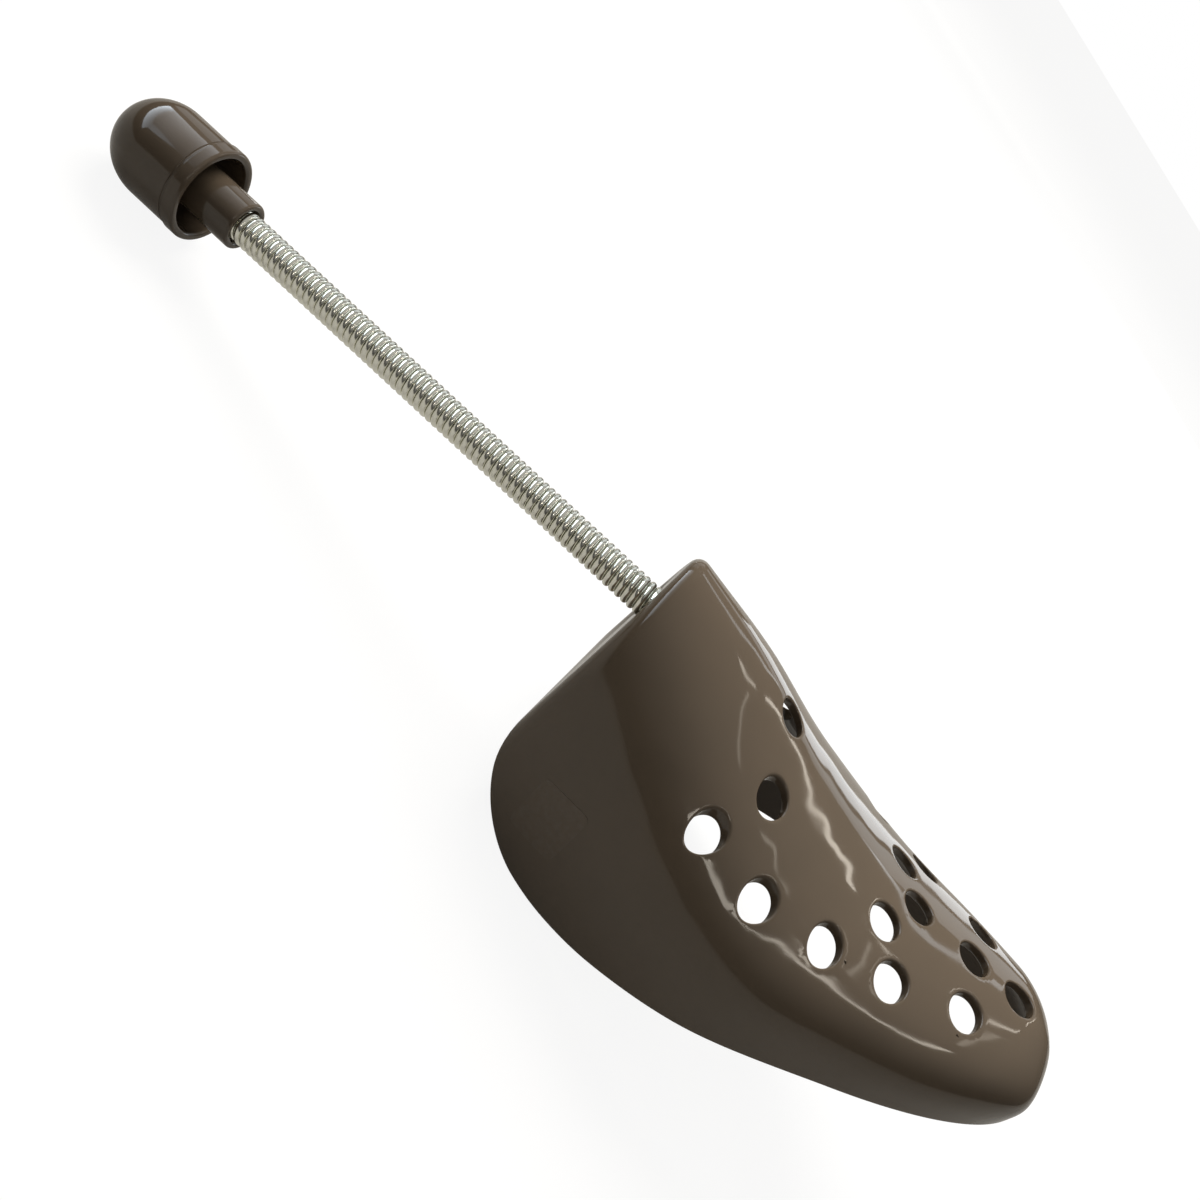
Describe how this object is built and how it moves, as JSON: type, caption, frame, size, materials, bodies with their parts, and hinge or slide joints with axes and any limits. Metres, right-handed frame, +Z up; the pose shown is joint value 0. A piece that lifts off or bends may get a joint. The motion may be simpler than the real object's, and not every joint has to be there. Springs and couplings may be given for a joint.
{
  "type": "spiral spring shoe tree",
  "caption": "Shoe tree with a hollow, pierced plastic toe shell, a close wound steel spring and a round hollow heel knob.",
  "frame": {"origin": "middle of the object's box, on the level surface that the knob's round back and the shell's lowest sole edge touch", "axes": "+X along the tree from the heel knob to the toe, +Y to the shell's left side seen from the knob, +Z up"},
  "size_m": [0.2968, 0.0804, 0.0718],
  "materials": {
    "shell_plastic": "glossy moulded taupe plastic",
    "spring_steel": "bright drawn spring wire with a thin nickel plate",
    "knob_plastic": "glossy moulded taupe plastic"
  },
  "bodies": {
    "toe": {"toe_shell": "shell_plastic"},
    "spring": {"coil_spring": "spring_steel"},
    "heel": {"heel_knob": "knob_plastic"}
  },
  "joints": [
    {"name": "spring_bend_toe", "type": "hinge", "parent": "toe", "child": "spring", "pos_m": [-0.02234, 0, 0.04195], "axis": [0, 1, 0], "range_deg": [-30, 30], "stiffness_Nm_per_rad": 0.12, "deforming": ["coil_spring"]},
    {"name": "spring_bend_heel", "type": "hinge", "parent": "spring", "child": "heel", "pos_m": [-0.08228, 0, 0.0261], "axis": [0, 1, 0], "range_deg": [-30, 30], "stiffness_Nm_per_rad": 0.12, "deforming": ["coil_spring"]}
  ],
  "couplings": [
    {"joint": "spring_bend_heel", "follows": "spring_bend_toe", "ratio": 1}
  ]
}
